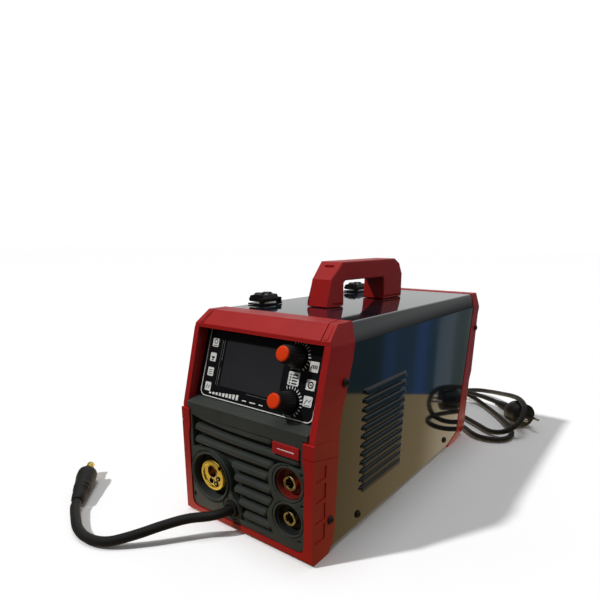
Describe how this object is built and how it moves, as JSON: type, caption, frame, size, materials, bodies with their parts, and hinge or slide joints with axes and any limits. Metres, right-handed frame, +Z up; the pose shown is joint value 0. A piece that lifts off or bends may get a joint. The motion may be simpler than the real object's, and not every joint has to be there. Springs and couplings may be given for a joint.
{
  "type": "mig welding machine",
  "caption": "Portable inverter MIG welder: moulded bezels, folded cover, hinged wire door, dials, torch and power sockets, wire feeder, spool, fan, polarity lead and mains cord.",
  "frame": {"origin": "on the floor under the middle of the machine without its cords", "axes": "+X to the right seen from the front, front faces -Y, +Z up"},
  "size_m": [0.4011, 0.7006, 0.252],
  "materials": {
    "red_plastic": "semi-gloss moulded red",
    "zinc_steel": "zinc plated sheet",
    "circuit_board": "green solder mask",
    "panel_gloss": "gloss black",
    "screen_glass": "dark display window",
    "sheet_paint": "high gloss dark blue-grey paint",
    "black_plastic": "satin black",
    "orange_plastic": "satin orange-red",
    "bright_steel": "turned steel",
    "black_steel": "black",
    "aluminium": "satin",
    "dark_plastic": "fine texture",
    "maroon_plastic": "satin dark red",
    "brass": "turned brass",
    "rubber": "matt black",
    "wire_copper": "copper coated wire"
  },
  "bodies": {
    "chassis": {"badge_plate": "red_plastic", "base_tray": "zinc_steel", "control_board": "circuit_board", "control_panel": "panel_gloss", "cover": "sheet_paint", "display_window": "screen_glass", "divider": "zinc_steel", "door_hinge_rod": "zinc_steel", "fan_frame": "black_plastic", "fan_guard": "black_steel", "feeder_motor": "black_steel", "feeder_plate": "aluminium", "front_bezel": "red_plastic", "front_plate": "dark_plastic", "gas_inlet": "brass", "handle": "red_plastic", "heat_sink": "aluminium", "inverter_board": "circuit_board", "latch_base_front": "black_plastic", "latch_base_rear": "black_plastic", "lead_grommet": "rubber", "mains_cord": "rubber", "mains_gland": "black_plastic", "mains_plug": "black_plastic", "mains_plug_pin_left": "bright_steel", "mains_plug_pin_right": "bright_steel", "negative_socket_contact": "brass", "negative_socket_shell": "black_plastic", "polarity_lead": "rubber", "polarity_plug_boot": "rubber", "polarity_plug_pin": "brass", "positive_socket_contact": "brass", "positive_socket_shell": "maroon_plastic", "rear_bezel": "red_plastic", "rear_panel": "black_steel", "side_screw_foot_front": "black_steel", "side_screw_foot_rear": "black_steel", "side_screw_front_lower": "black_steel", "side_screw_front_upper": "black_steel", "side_screw_rear": "black_steel", "spool_nut": "black_plastic", "spool_spindle": "black_plastic", "switch_frame": "black_plastic", "torch_socket_body": "brass", "torch_socket_collar": "dark_plastic", "transformer": "black_steel"},
    "current_dial": {"current_knob": "black_plastic", "current_knob_cap": "orange_plastic"},
    "voltage_dial": {"voltage_knob": "black_plastic", "voltage_knob_cap": "orange_plastic"},
    "door": {"wire_door": "sheet_paint"},
    "front_latch": {"latch_lever_front": "black_plastic"},
    "rear_latch": {"latch_lever_rear": "black_plastic"},
    "rocker": {"switch_rocker": "maroon_plastic"},
    "fan": {"fan_rotor": "black_plastic"},
    "drive": {"drive_roll": "bright_steel"},
    "press": {"pressure_arm": "aluminium"},
    "press_wheel": {"pressure_roll": "bright_steel"},
    "tension": {"tension_lever": "black_plastic"},
    "spool": {"wire_spool": "wire_copper"}
  },
  "joints": [
    {"name": "current_dial_turn", "type": "hinge", "parent": "chassis", "child": "current_dial", "pos_m": [0.04, -0.17192, 0.17496], "axis": [0, -0.9527, 0.304], "continuous": true},
    {"name": "voltage_dial_turn", "type": "hinge", "parent": "chassis", "child": "voltage_dial", "pos_m": [0.04, -0.18384, 0.13762], "axis": [0, -0.9527, 0.304], "continuous": true},
    {"name": "door_hinge", "type": "hinge", "parent": "chassis", "child": "door", "pos_m": [-0.079, -0.0119, 0.0076], "axis": [0, -1, 0], "range_deg": [0, 90]},
    {"name": "front_latch_hinge", "type": "hinge", "parent": "chassis", "child": "front_latch", "pos_m": [-0.0535, -0.0964, 0.2092], "axis": [0, 1, 0], "range_deg": [0, 100]},
    {"name": "rear_latch_hinge", "type": "hinge", "parent": "chassis", "child": "rear_latch", "pos_m": [-0.0535, 0.0951, 0.2092], "axis": [0, 1, 0], "range_deg": [0, 100]},
    {"name": "power_switch", "type": "hinge", "parent": "chassis", "child": "rocker", "pos_m": [-0.045, 0.1751, 0.155], "axis": [1, 0, 0], "range_deg": [0, 16]},
    {"name": "fan_spin", "type": "hinge", "parent": "chassis", "child": "fan", "pos_m": [0.03, 0.1645, 0.11], "axis": [0, 1, 0], "continuous": true},
    {"name": "drive_roll_spin", "type": "hinge", "parent": "chassis", "child": "drive", "pos_m": [-0.044, -0.1019, 0.033], "axis": [1, 0, 0], "continuous": true},
    {"name": "pressure_arm_hinge", "type": "hinge", "parent": "chassis", "child": "press", "pos_m": [-0.036, -0.0739, 0.062], "axis": [-1, 0, 0], "range_deg": [0, 7]},
    {"name": "pressure_roll_spin", "type": "hinge", "parent": "press", "child": "press_wheel", "pos_m": [-0.044, -0.1019, 0.0596], "axis": [1, 0, 0], "continuous": true},
    {"name": "tension_lever_hinge", "type": "hinge", "parent": "chassis", "child": "tension", "pos_m": [-0.035, -0.1244, 0.025], "axis": [1, 0, 0], "range_deg": [0, 25]},
    {"name": "spool_spin", "type": "hinge", "parent": "chassis", "child": "spool", "pos_m": [-0.0435, 0.0681, 0.112], "axis": [1, 0, 0], "continuous": true}
  ],
  "couplings": [
    {"joint": "pressure_roll_spin", "follows": "drive_roll_spin", "ratio": -1.3636}
  ]
}
